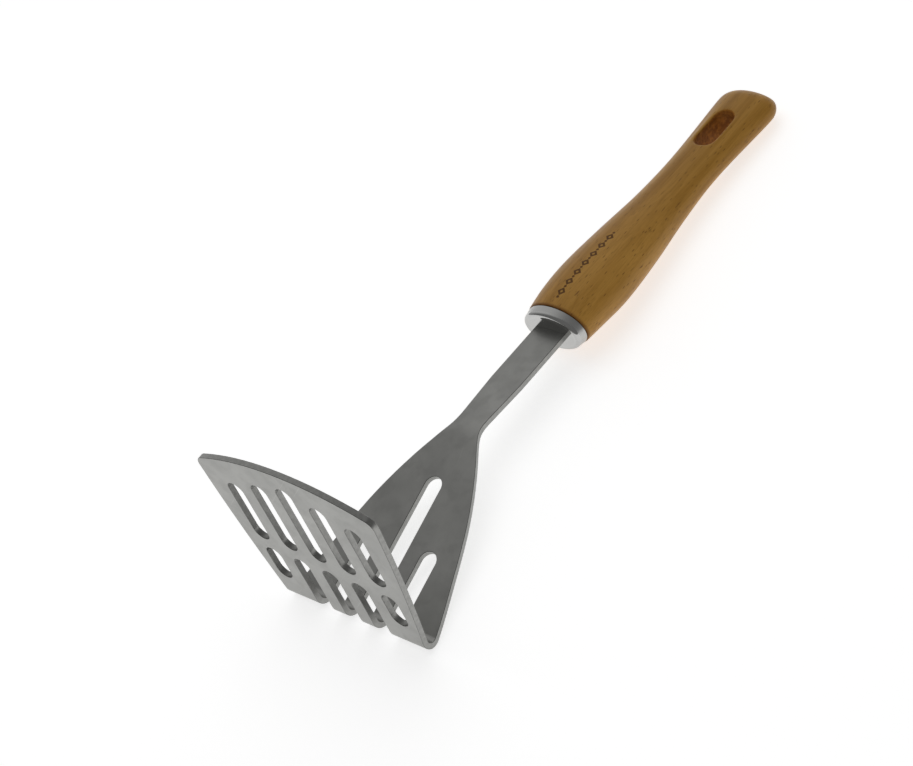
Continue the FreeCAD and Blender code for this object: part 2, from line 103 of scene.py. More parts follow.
# The steps that round the rim, and the small rounding of the ferrule's back edge.
RIM_STEPS = 8
CAP_LIP = 0.15
# The steel that runs through it into the handle, and the mortise that the handle has for it.
TANG = (14.0, 2.3)
MORTISE = (16.0, 4.5, 62.0)

# The handle's oval sections, in millimetres: place along it, half width, half height, and how far the
# section's middle is above the stem's middle.
GRIP = [
    (CAP_LENGTH, 13.9, 9.2, 0.1),
    (14.0, 15.0, 10.1, 0.5),
    (28.0, 15.6, 10.8, 0.2),
    (50.0, 14.0, 9.8, 0.0),
    (72.0, 11.7, 8.0, 0.2),
    (95.0, 10.8, 7.0, 0.7),
]
END_SECTION = (13.1, 7.0, 0.8)
# The share of the end's half width and half height that is left at the very tip.
TIP_WIDTH, TIP_HEIGHT = 0.50, 0.10

# How much wider than the steel its opening in the ferrule is drawn, in millimetres.
PLAY = 0.04
# The gap between the wood and the ferrule, in millimetres.
FIT = 0.1

# The rows of the handle's cage, in millimetres: behind the shoulder, where they hold its edge tight, then
# evenly down the grip, then one before the hole. Down the hole they are shares of its half length.
EDGE_ROWS = (0.25, 0.9, 2.6)
GRIP_START, GRIP_PITCH, GRIP_COUNT = 10.0, 4.0, 23
BEFORE_HOLE = 2.4
HOLE_SHARES = (-1.0, -0.78, -0.5, -0.17, 0.17, 0.5, 0.78, 1.0)
DOME_STEPS = 6
CAGE_SIDES = 32
SUBDIVISIONS = 2

# The hanging hole, in millimetres: how much wider than the hole, on each side, the opened faces and their
# shaped rim are, then each step into the hole, with its depth and how much wider than the hole it is. The
# hole's open edges are looked for as far as its reach past its ends.
WINDOW_SPARE, RIM_SPARE = 0.3, 1.1
HOLE_STEPS = ((0.20, 0.30), (0.55, 0.0), (0.45, 0.0))
HOLE_WALL_CUTS = 3
HOLE_REACH = 3.0

# The ornament, in millimetres: where its chain starts, its pitch and count, half a lozenge's length and
# width, and a dot's inner and outer radius.
CHAIN_START, CHAIN_PITCH, CHAIN_COUNT = 9.0, 5.2, 7
LOZENGE = (1.95, 1.75)
DOT = (0.50, 0.62)

# The sheet's materials, in the order of its slots. The third slot's colour carries painted shade on the rounded
# edges.
SATIN, SHEARED, BURNISHED_AND_SHADED = 0, 1, 2
# A ray starts this far under a face, and the sheet is thinner than this, so that its walls can be told.
SKIN = 0.02 * MM
THICKEST_SHEET = 3.2 * MM
# Points nearer than this, in metres, are one point. Faces flatter than this angle, in degrees, become one face.
WELD = 1e-6
SHEET_WELD = 2e-6
FLAT_ANGLE = 0.4
# Edges sharper than this, in degrees, are rounded, in this many steps.
ARRIS_ANGLE, ARRIS_STEPS = 50, 3
NORMAL_WEIGHT = 90
# Edges flatter than these angles, in degrees, are shaded smooth.
SHEET_SMOOTH, FERRULE_SMOOTH, HANDLE_SMOOTH = 35, 30, 40

# The studio: the floor's side, the lamp overhead with its place, aim and side, the way to the window and
# where its light begins, and the camera. Lengths are in metres and turns in degrees.
FLOOR_SIDE = 8.0
LAMP_PLACE, LAMP_AIM, LAMP_SIDE = (-0.15, 0.1, 1.3), (0, 0.03, 0.02), 1.3
WINDOW_WAY = (-0.72, 0.58, 0.38)
WINDOW_EDGE = 0.38
CAMERA_PLACE = (0.50077, -0.36778, 0.56478)
CAMERA_TURN = (44.6401, 20.9259, 37.8543)
CAMERA_LENS, CAMERA_SENSOR = 88.836, 36.0


# ---------------------------------------------------------------- sizes and colours to change

class MasherSteel(PropertyGroup):
    deburr: FloatProperty(
        name="Edge rounding", description="Rounding that tumbling leaves on the sheet's edges",
        default=0.20 * MM, min=0, max=MM, unit="LENGTH")
    tint: FloatVectorProperty(
        name="Steel", description="Colour of the satin stainless steel",
        default=(0.36, 0.36, 0.345), min=0, max=1, size=3, subtype="COLOR")


class MasherFerrule(PropertyGroup):
    sides: IntProperty(
        name="Facets", description="Faces around the ferrule", default=128, min=32, max=256)
    rim: FloatProperty(
        name="Rim rounding", description="Rounding of the ferrule's front rim",
        default=1.5 * MM, min=0, max=2 * MM, unit="LENGTH")
    tint: FloatVectorProperty(
        name="Ferrule", description="Colour of the polished ferrule",
        default=(0.50, 0.50, 0.49), min=0, max=1, size=3, subtype="COLOR")


class MasherHandle(PropertyGroup):
    length: FloatProperty(
        name="End", description="Handle's end, from the ferrule's front face",
        default=139.9 * MM, unit="LENGTH")
    dome: FloatProperty(
        name="Dome", description="Length of the rounding at the handle's end",
        default=8.0 * MM, unit="LENGTH")
    hole_length: FloatProperty(
        name="Hole length", description="Length of the hanging hole", default=21.5 * MM, unit="LENGTH")
    hole_width: FloatProperty(
        name="Hole width", description="Width of the hanging hole", default=9.0 * MM, unit="LENGTH")
    pale: FloatVectorProperty(
        name="Pale wood", description="Colour of the early wood",
        default=(0.50, 0.262, 0.054), min=0, max=1, size=3, subtype="COLOR")
    dark: FloatVectorProperty(
        name="Dark wood", description="Colour of the late wood",
        default=(0.35, 0.165, 0.022), min=0, max=1, size=3, subtype="COLOR")


class MasherStudio(PropertyGroup):
    floor: FloatVectorProperty(
        name="Floor", description="Colour of the floor", default=(0.68, 0.68, 0.68),
        min=0, max=1, size=3, subtype="COLOR")
    glow: FloatProperty(
        name="Floor glow", description="How much the floor shines by itself, as a light table does",
        default=0.68, min=0)
    sky: FloatProperty(
        name="Sky", description="Strength of the dim sky", default=0.19, min=0)
    window: FloatProperty(
        name="Window", description="Strength that the wide soft window on the back left adds",
        default=0.44, min=0)
    fill: FloatProperty(
        name="Fill", description="Power of the lamp overhead that leaves no reflection, in watts",
        default=4.4, min=0)


# ---------------------------------------------------------------- small tools

def only(obj):
    """Make obj the one selected, active object."""
    bpy.ops.object.select_all(action="DESELECT")
    obj.select_set(True)
    bpy.context.view_layer.objects.active = obj


def finish_piece(obj, slot, *nodes):
    """Put the piece on the body and hide the CAD nodes that it stands for; the slot is not used."""
    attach(obj, ROOT)
    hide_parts(*nodes)


def modify(obj, kind, **settings):
    """Add a modifier and apply it."""
    only(obj)
    modifier = obj.modifiers.new(kind.title(), kind)
    for name, value in settings.items():
        setattr(modifier, name, value)
    bpy.ops.object.modifier_apply(modifier=modifier.name)


def to_handle_frame(obj):
    """Take a piece drawn about its own Z axis to the handle's place, and bake that into its mesh."""
    only(obj)
    obj.matrix_world = HANDLE_FRAME
    bpy.ops.object.transform_apply(location=True, rotation=True, scale=True)


def outward(obj):
    """Merge the points that meet and turn every face outward."""
    only(obj)
    bpy.ops.object.mode_set(mode="EDIT")
    bpy.ops.mesh.select_all(action="SELECT")
    bpy.ops.mesh.remove_doubles(threshold=WELD)
    bpy.ops.mesh.normals_make_consistent(inside=False)
    bpy.ops.object.mode_set(mode="OBJECT")


def smooth(obj, degrees):
    """Shade smooth across every edge flatter than the angle."""
    only(obj)
    bpy.ops.object.shade_smooth_by_angle(angle=radians(degrees))


# ---------------------------------------------------------------- shader tools

class Value:
    """A socket that adds Math nodes when it is used in an expression."""

    def __init__(self, shader, socket):
        self.shader, self.socket = shader, socket

    def _math(self, operation, *values):
        return self.shader.node("ShaderNodeMath", {"operation": operation}, values).out(0)

    def __add__(self, other):
        return self._math("ADD", self, other)

    def __radd__(self, other):
        return self._math("ADD", other, self)

    def __sub__(self, other):
        return self._math("SUBTRACT", self, other)

    def __rsub__(self, other):
        return self._math("SUBTRACT", other, self)

    def __mul__(self, other):
        return self._math("MULTIPLY", self, other)

    def __truediv__(self, other):
        return self._math("DIVIDE", self, other)

    def __abs__(self):
        return self._math("ABSOLUTE", self)

    def over(self, other):
        return self._math("MAXIMUM", self, other)

    def under(self, other):
        return self._math("MINIMUM", self, other)

    def power(self, other):
        return self._math("POWER", self, other)

    def fraction(self):
        return self._math("FRACT", self)

    def step(self, low, high):
        """0 below low and 1 above high, with a soft change between them. Low may be the larger."""
        settings = {"interpolation_type": "SMOOTHSTEP", "clamp": True}
        return self.shader.node("ShaderNodeMapRange", settings,
                                {"Value": self, "From Min": low, "From Max": high}).out("Result")


class Made:
    """A node that a Shader made, whose outputs are read by name or number."""

    def __init__(self, shader, node):
        self.shader, self.node = shader, node

    def out(self, which):
        return Value(self.shader, self.node.outputs[which])


class Shader:
    """A material and one method that makes any node of it."""

    def __init__(self, name):
        self.material = bpy.data.materials.new(name)
        self.material.use_nodes = True
        self.tree = self.material.node_tree
        self.tree.nodes.clear()

    def node(self, kind, settings=None, inputs=None):
        node = self.tree.nodes.new(kind)
        for name, value in (settings or {}).items():
            setattr(node, name, value)
        pairs = inputs.items() if isinstance(inputs, dict) else enumerate(inputs or ())
        for which, value in pairs:
            socket = node.inputs[which]
            if isinstance(value, Value):
                self.tree.links.new(value.socket, socket)
            elif isinstance(value, (tuple, list)) and socket.type == "RGBA":
                socket.default_value = (*value, 1.0)[:4]
            else:
                socket.default_value = value
        return Made(self, node)

    def place(self, turn=(0, 0, 0), shift=(0, 0, 0)):
        """Object coordinates, moved to a piece's own frame."""
        own = self.node("ShaderNodeTexCoord").out("Object")
        return self.node("ShaderNodeMapping", {"vector_type": "TEXTURE"},
                         {"Vector": own, "Location": shift, "Rotation": turn}).out(0)

    def stretch(self, vector, scale):
        return self.node("ShaderNodeMapping", {}, {"Vector": vector, "Scale": scale}).out(0)

    def noise(self, vector, scale, detail, rough, bend=0.0):
        return self.node("ShaderNodeTexNoise", {}, {
            "Vector": vector, "Scale": scale, "Detail": detail, "Roughness": rough,
            "Distortion": bend}).out("Fac")

    def blend(self, factor, first, second):
        """Mix two colours. The Mix node also has sockets for other kinds of value, so its colour sockets
        are found by their type."""
        node = self.tree.nodes.new("ShaderNodeMix")
        node.data_type = "RGBA"
        sockets = [node.inputs["Factor"]] + [s for s in node.inputs if s.type == "RGBA"]
        for socket, value in zip(sockets, (factor, first, second)):
            if isinstance(value, Value):
                self.tree.links.new(value.socket, socket)
            elif socket.type == "RGBA":
                socket.default_value = (*value, 1.0)[:4]
            else:
                socket.default_value = value
        return Value(self, next(s for s in node.outputs if s.type == "RGBA"))

    def bump(self, height, distance, strength=1.0):
        return self.node("ShaderNodeBump", {}, {
            "Height": height, "Distance": distance, "Strength": strength}).out(0)

    def finish(self, **inputs):
        """Close the material with a Principled shader. An input's spaces are written as underscores."""
        named = {name.replace("_", " "): value for name, value in inputs.items()}
        surface = self.node("ShaderNodeBsdfPrincipled", {}, named).out(0)
        self.node("ShaderNodeOutputMaterial", {}, {"Surface": surface})
        return self.material


# ---------------------------------------------------------------- materials

def satin_steel(tint):
    """Stamped stainless sheet: tumbled satin, faint rolling lines, smudges and a few hairline scratches."""
    s = Shader("satin_stainless")
    own = s.place()
    cloud = s.noise(own, 55, 4, 0.55)
    smudge = s.noise(own, 190, 3, 0.6, 0.4)
    grit = s.noise(own, 5200, 2, 0.6)
    lines = s.noise(s.stretch(own, (2600, 90, 90)), 1, 3, 0.65)
    across = s.noise(s.stretch(own, (160, 3400, 3400)), 1, 2, 0.6)
    scratch = s.noise(s.stretch(s.place(turn=(0.5, 0.7, 0.4)), (1500, 26, 26)), 1, 1, 0.4).step(0.735, 0.76)
    nick = s.noise(own, 900, 1, 0.5).step(0.76, 0.80)
    light = s.blend(cloud.step(0.35, 0.68), tuple(c * 0.93 for c in tint), tuple(c * 1.07 for c in tint))
    worn = s.blend(smudge.step(0.45, 0.75) * 0.35, light, tuple(c * 0.86 for c in tint))
    colour = s.blend(scratch * 0.12, worn, tuple(min(1.0, c * 1.5) for c in tint))
    rough = 0.36 + cloud * 0.08 + smudge.step(0.4, 0.7) * 0.05 + lines * 0.05 - scratch * 0.08
    height = lines * 0.5 + across * 0.15 + grit * 0.25 - scratch * 0.6 - nick * 0.6
    return s.finish(Base_Color=colour, Metallic=1.0, Roughness=rough, Anisotropic=0.25,
                    Normal=s.bump(height, 0.000006))


def sheared_steel(tint):
    """The walls that the press sheared: darker, with fine marks through the sheet."""
    s = Shader("sheared_stainless")
    own = s.place()
    torn = s.noise(own, 700, 2, 0.5)
    cloud = s.noise(own, 160, 3, 0.5)
    colour = s.blend(torn.step(0.35, 0.70), tuple(c * 0.76 for c in tint), tuple(c * 0.90 for c in tint))
    return s.finish(Base_Color=colour, Metallic=1.0, Roughness=0.30 + cloud * 0.16,
                    Normal=s.bump(torn * 0.5 + cloud * 0.6, 0.000006))


def burnished_and_shaded_steel(tint):
    """The rounded arris round every edge: tumbled smooth, with painted shade that makes it darker than the
    faces beside it.
    """
    s = Shader("burnished_and_shaded_stainless")
    own = s.place()
    cloud = s.noise(own, 420, 3, 0.5)
    # Painted shade: the rounded edges get 0.46 to 0.72 of the steel's colour, darker than the faces.
    colour = s.blend(cloud, tuple(c * 0.46 for c in tint), tuple(c * 0.72 for c in tint))
    return s.finish(Base_Color=colour, Metallic=1.0, Roughness=0.18 + cloud * 0.12,
                    Normal=s.bump(cloud, 0.000006))


def polished_steel(tint):
    """The ferrule: a bright turned face and a satin side band, split by place along the handle."""
    s = Shader("ferrule_polish")
    own = s.place(turn=HANDLE_TURN, shift=FACE_CENTRE)
    along = s.node("ShaderNodeSeparateXYZ", {}, [own]).out("Z")
    side = along.step(0.9 * MM, 1.6 * MM)
    cloud = s.noise(own, 160, 3, 0.5)
    rings = s.noise(s.stretch(own, (60, 60, 5200)), 1, 2, 0.5)
    hair = s.noise(s.stretch(s.place(turn=(0.9, 0.2, 0.6)), (2600, 60, 60)), 1, 1, 0.4).step(0.72, 0.76)
    band = tuple(c * 0.92 for c in tint)
    colour = s.blend(side, tint, s.blend(cloud, band, tuple(c * 1.15 for c in band)))
    rough = 0.10 + side * 0.20 + cloud * 0.06 + hair * 0.05 + rings * side * 0.08
    height = cloud * 0.2 + rings * side * 0.5 - hair * 0.3
    return s.finish(Base_Color=colour, Metallic=1.0, Roughness=rough, Normal=s.bump(height, 0.000004))


def beech(pale, dark, hole_length, hole_width):
    """Varnished beech: soft streaks, short dark flecks, hole walls painted darker and redder (the end grain's
    stain and painted shade), a small burned ornament and a painted shadow behind the ferrule.
    """
    s = Shader("varnished_beech")
    own = s.place(turn=HANDLE_TURN, shift=FACE_CENTRE)
    parts = s.node("ShaderNodeSeparateXYZ", {}, [own])
    x, y, z = parts.out("X"), parts.out("Y"), parts.out("Z")

    streak = s.noise(s.stretch(own, (230, 230, 9)), 1, 5, 0.6, 0.25)
    broad = s.noise(s.stretch(own, (60, 60, 5)), 1, 3, 0.5, 0.3)
    fibre = s.noise(s.stretch(own, (2300, 2300, 60)), 1, 3, 0.6)
    patch = s.noise(own, 38, 2, 0.5)
    wood = s.blend(streak.step(0.32, 0.70), dark, pale)
    wood = s.blend(broad.step(0.38, 0.66) * 0.45, wood, tuple(c * 1.12 for c in pale))
    wood = s.blend(patch.step(0.45, 0.75) * 0.22, wood, tuple(c * 0.80 for c in dark))
    wood = s.blend(fibre.step(0.42, 0.72) * 0.34, wood, tuple(c * 0.66 for c in dark))

    fleck = s.node("ShaderNodeTexVoronoi", {"feature": "F1"}, {
        "Vector": s.stretch(own, (1500, 1500, 260)), "Scale": 1.0, "Randomness": 1.0})
    chance = s.node("ShaderNodeSeparateColor", {}, [fleck.out("Color")]).out(0)
    dashes = fleck.out("Distance").step(0.34, 0.12) * chance.step(0.66, 0.82)
    long_fleck = s.noise(s.stretch(own, (1700, 1700, 190)), 1, 1, 0.4).step(0.70, 0.78)
    brown = (0.13, 0.052, 0.010)
    wood = s.blend(dashes * 0.75, wood, brown)
    wood = s.blend(long_fleck * 0.60, wood, brown)

    # The hole walls are painted darker and redder: partly the end grain's stain, partly painted shade inside
    # the hole.
    half, run = hole_width / 2, hole_length / 2 - hole_width / 2
    past_run = (abs(z - HOLE_PLACE * MM) - run).over(0.0)
    reach = (x * x + past_run * past_run).power(0.5)
    wall = reach.step(half + 0.45 * MM, half + 0.02 * MM)
    mottle = s.noise(own, 420, 4, 0.65)
    hole_stain_and_shade = s.blend(mottle.step(0.38, 0.66), (0.24, 0.085, 0.010), (0.46, 0.190, 0.030))
    wood = s.blend(wall * 0.92, wood, hole_stain_and_shade)

    pitch = CHAIN_PITCH * MM
    place = (z - CHAIN_START * MM) / pitch
    part = place.fraction()
    inside = place.step(-0.17, -0.15) * place.step(CHAIN_COUNT + 0.17, CHAIN_COUNT + 0.15)
    inside = inside * y.step(0.0, -0.5 * MM)
    lozenge = abs(part - 0.5) * (pitch / (LOZENGE[0] * MM)) + abs(x) / (LOZENGE[1] * MM)
    from_dot = (part.under(1 - part) * pitch).power(2) + x.power(2)
    dot = from_dot.power(0.5).step(DOT[1] * MM, DOT[0] * MM)
    ornament = (lozenge.step(1.05, 0.95) * lozenge.step(0.30, 0.40)).over(dot) * inside
    wood = s.blend(ornament * (0.78 + mottle * 0.20), wood, (0.085, 0.034, 0.006))

    # Painted shadow: the wood is darkened towards brown over the 1.5 mm just behind the ferrule, where shade
    # falls at the joint.
    shoulder = z.step((CAP_LENGTH + 1.5) * MM, (CAP_LENGTH + 0.2) * MM)
    wood = s.blend(shoulder * 0.70, wood, (0.15, 0.052, 0.010))

    rough = 0.36 + streak * 0.10 + dashes * 0.15 + wall * 0.24 + ornament * 0.20
    height = fibre * 0.30 + streak * 0.20 - dashes * 0.55 - long_fleck * 0.35 - ornament * 2.5
    return s.finish(Base_Color=wood, Roughness=rough, Specular_IOR_Level=0.16,
                    Coat_Weight=0.08 - wall * 0.07, Coat_Roughness=0.30,
                    Normal=s.bump(height, 0.00003, 0.8))


def cured_resin():
    """Resin: amber and cloudy, with small bubbles."""
    s = Shader("cured_resin")
    own = s.place()
    cloud = s.noise(own, 240, 3, 0.5)
    bubbles = s.noise(own, 1800, 1, 0.5).step(0.66, 0.74)
    colour = s.blend(cloud, (0.42, 0.26, 0.09), (0.56, 0.40, 0.18))
    return s.finish(Base_Color=colour, Roughness=0.22 + bubbles * 0.3,
                    Normal=s.bump(cloud * 0.6 - bubbles, 0.00002))


def studio_floor(tint, glow):
    """Pale matt paper, lit from within."""
    s = Shader("studio_paper")
    grain = s.noise(s.place(), 700, 3, 0.6)
    colour = s.blend(grain, tint, tuple(min(1.0, c * 1.03) for c in tint))
    return s.finish(Base_Color=colour, Roughness=0.9, Specular_IOR_Level=0.1,
                    Emission_Color=(1.0, 1.0, 1.0), Emission_Strength=glow)


def dress(obj, *materials):
    """Give the object these materials, in the order of its slots."""
    obj.data.materials.clear()
    for material in materials:
        obj.data.materials.append(material)


# ---------------------------------------------------------------- pieces

def copy_node(node, name):
    """A copy of a CAD node, without the node's own marks."""
    only(frame["nodes"][node])
    bpy.ops.object.duplicate()
    piece = bpy.context.active_object
    piece.name = piece.data.name = name
    piece.parent = None
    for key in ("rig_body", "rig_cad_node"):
        del piece[key]
    return piece


class MASHER_OT_sheet(Operator):
    """Make the stamped and bent stainless sheet, with its edges deburred"""
    bl_idname = "masher.sheet"
    bl_label = "Slotted sheet"

    def execute(self, context):
        steel = context.scene.masher_steel
        piece = copy_node("masher_blade", "slotted_sheet")
        tint = tuple(steel.tint)
        dress(piece, satin_steel(tint), sheared_steel(tint), burnished_and_shaded_steel(tint))
        bpy.ops.object.mode_set(mode="EDIT")
        bpy.ops.mesh.select_all(action="SELECT")
        bpy.ops.mesh.customdata_custom_splitnormals_clear()
        bpy.ops.mesh.remove_doubles(threshold=SHEET_WELD)
        bpy.ops.object.mode_set(mode="OBJECT")
        self.find_walls(piece)
        bpy.ops.object.mode_set(mode="EDIT")
        bpy.ops.mesh.select_all(action="SELECT")
        bpy.ops.mesh.dissolve_limited(angle_limit=radians(FLAT_ANGLE), delimit={"MATERIAL"})
        bpy.ops.object.mode_set(mode="OBJECT")
        # Clamping is off, since on this mesh it takes nearly all of the rounding away. A few tiny folds
        # are left without it.
        modify(piece, "BEVEL", width=steel.deburr, segments=ARRIS_STEPS, limit_method="ANGLE",
               angle_limit=radians(ARRIS_ANGLE), use_clamp_overlap=False, material=BURNISHED_AND_SHADED)
        smooth(piece, SHEET_SMOOTH)
        modify(piece, "WEIGHTED_NORMAL", keep_sharp=True, weight=NORMAL_WEIGHT)
        finish_piece(piece, "stainless_sheet", "masher_blade")
        return {"FINISHED"}

    def find_walls(self, piece):
        """Give the sheared finish to each triangle with no other face a sheet's thickness behind it."""
        mesh = bmesh.new()
        mesh.from_mesh(piece.data)
        tree = BVHTree.FromBMesh(mesh)
        mesh.free()
        for face in piece.data.polygons:
            start = face.center - face.normal * SKIN
            _, _, _, depth = tree.ray_cast(start, -face.normal)
            face.material_index = SHEARED if depth is None or depth > THICKEST_SHEET else SATIN


def section_at(place, length, dome):
    """Half width, half height and rise of the handle's oval at a place along it, in millimetres."""
    end_a, end_b, end_rise = END_SECTION
    start = length - dome
    known = GRIP + [(start, end_a, end_b, end_rise)]
    if place >= start:
        shrink = sqrt(max(0.0, 1 - ((place - start) / dome) ** 2))
        return (end_a * (TIP_WIDTH + (1 - TIP_WIDTH) * shrink),
                end_b * (TIP_HEIGHT + (1 - TIP_HEIGHT) * shrink), end_rise)
    i = max(k for k in range(len(known) - 1) if known[k][0] <= place)
    before, here = known[max(i - 1, 0)], known[i]
    there, after = known[i + 1], known[min(i + 2, len(known) - 1)]
    gap = there[0] - here[0]
    t = (place - here[0]) / gap

    def hermite(j):
        slope_here = (there[j] - before[j]) / (there[0] - before[0]) * gap
        slope_there = (after[j] - here[j]) / (after[0] - here[0]) * gap
        return ((2 * t ** 3 - 3 * t ** 2 + 1) * here[j] + (t ** 3 - 2 * t ** 2 + t) * slope_here
                + (3 * t ** 2 - 2 * t ** 3) * there[j] + (t ** 3 - t ** 2) * slope_there)

    return hermite(1), hermite(2), hermite(3)


class MASHER_OT_ferrule(Operator):
    """Make the oval ferrule: rounded rim, flat face with the stem's slot, and the wall behind it"""
    bl_idname = "masher.ferrule"
    bl_label = "Ferrule"

    def execute(self, context):
        ferrule = context.scene.masher_ferrule
        rim = ferrule.rim / MM
        crest = [a - rim for a in CAP_FRONT]
        rings = [(depth, crest[0] - inset, crest[1] - inset) for depth, inset in BEAD]
        for step in range(RIM_STEPS + 1):
            angle = pi / 2 * step / RIM_STEPS
            inset = rim * (1 - sin(angle))
            rings.append((rim * (1 - cos(angle)), CAP_FRONT[0] - inset, CAP_FRONT[1] - inset))
        rings += [(CAP_LENGTH - CAP_LIP, *CAP_BACK),
                  (CAP_LENGTH, CAP_BACK[0] - CAP_LIP, CAP_BACK[1] - CAP_LIP),
                  (CAP_LENGTH, *CAP_INSIDE), (CAP_WALL, *CAP_INSIDE)]
        bpy.ops.object.select_all(action="DESELECT")
        _, a, b = rings[0]
        bpy.ops.mesh.primitive_circle_add(vertices=ferrule.sides, radius=MM, fill_type="NOTHING",
                                          location=(0, 0, 0))
        piece = context.active_object
        piece.name = piece.data.name = "ferrule_cap"
        bpy.ops.object.mode_set(mode="EDIT")
        bpy.ops.mesh.select_all(action="SELECT")
        bpy.ops.transform.resize(value=(a, b, 1), center_override=(0, 0, 0))
        bpy.ops.mesh.edge_face_add()
        bpy.ops.mesh.select_all(action="SELECT")
        for (z0, a0, b0), (z1, a1, b1) in zip(rings, rings[1:]):
            bpy.ops.mesh.extrude_edges_move(TRANSFORM_OT_translate={"value": (0, 0, (z1 - z0) * MM)})
            bpy.ops.transform.resize(value=(a1 / a0, b1 / b0, 1), center_override=(0, 0, 0))
        bpy.ops.mesh.edge_face_add()
        bpy.ops.object.mode_set(mode="OBJECT")
        piece.data.transform(Matrix.Translation((0, -CAP_RISE * MM, 0)))
        outward(piece)
        cutter = box_cutter((TANG[0] + PLAY, TANG[1] + PLAY, 4 * CAP_WALL), (0, 0, CAP_WALL / 2))
        modify(piece, "BOOLEAN", operation="DIFFERENCE", solver="EXACT", object=cutter)
        bpy.data.objects.remove(cutter)
        to_handle_frame(piece)
        smooth(piece, FERRULE_SMOOTH)
        dress(piece, polished_steel(tuple(ferrule.tint)))
        finish_piece(piece, "ferrule_metal", "ferrule")
        return {"FINISHED"}


def box_cutter(size, centre):
    """A scratch box that a Boolean takes away, in millimetres."""
    bpy.ops.object.select_all(action="DESELECT")
    bpy.ops.mesh.primitive_cube_add(size=MM, location=[c * MM for c in centre])
    cutter = bpy.context.active_object
    cutter.scale = size
    bpy.ops.object.transform_apply(location=True, rotation=True, scale=True)
    return cutter


def stadium_point(share, half, run):
    """A point on the hanging hole's outline: share goes once round, from the middle of its far end."""
    quarter = pi / 2 * half
    total = 4 * (quarter + run)
    s = (share % 1.0) * total
    if s <= quarter:
        angle = s / half
        return half * sin(angle), run + half * cos(angle)
    if s <= quarter + 2 * run:
        return half, run - (s - quarter)
    if s <= 3 * quarter + 2 * run:
        angle = pi / 2 + (s - quarter - 2 * run) / half
        return half * sin(angle), -run + half * cos(angle)
    if s <= 3 * quarter + 4 * run:
        return -half, -run + (s - 3 * quarter - 2 * run)
    angle = 1.5 * pi + (s - 3 * quarter - 4 * run) / half
    return half * sin(angle), run + half * cos(angle)


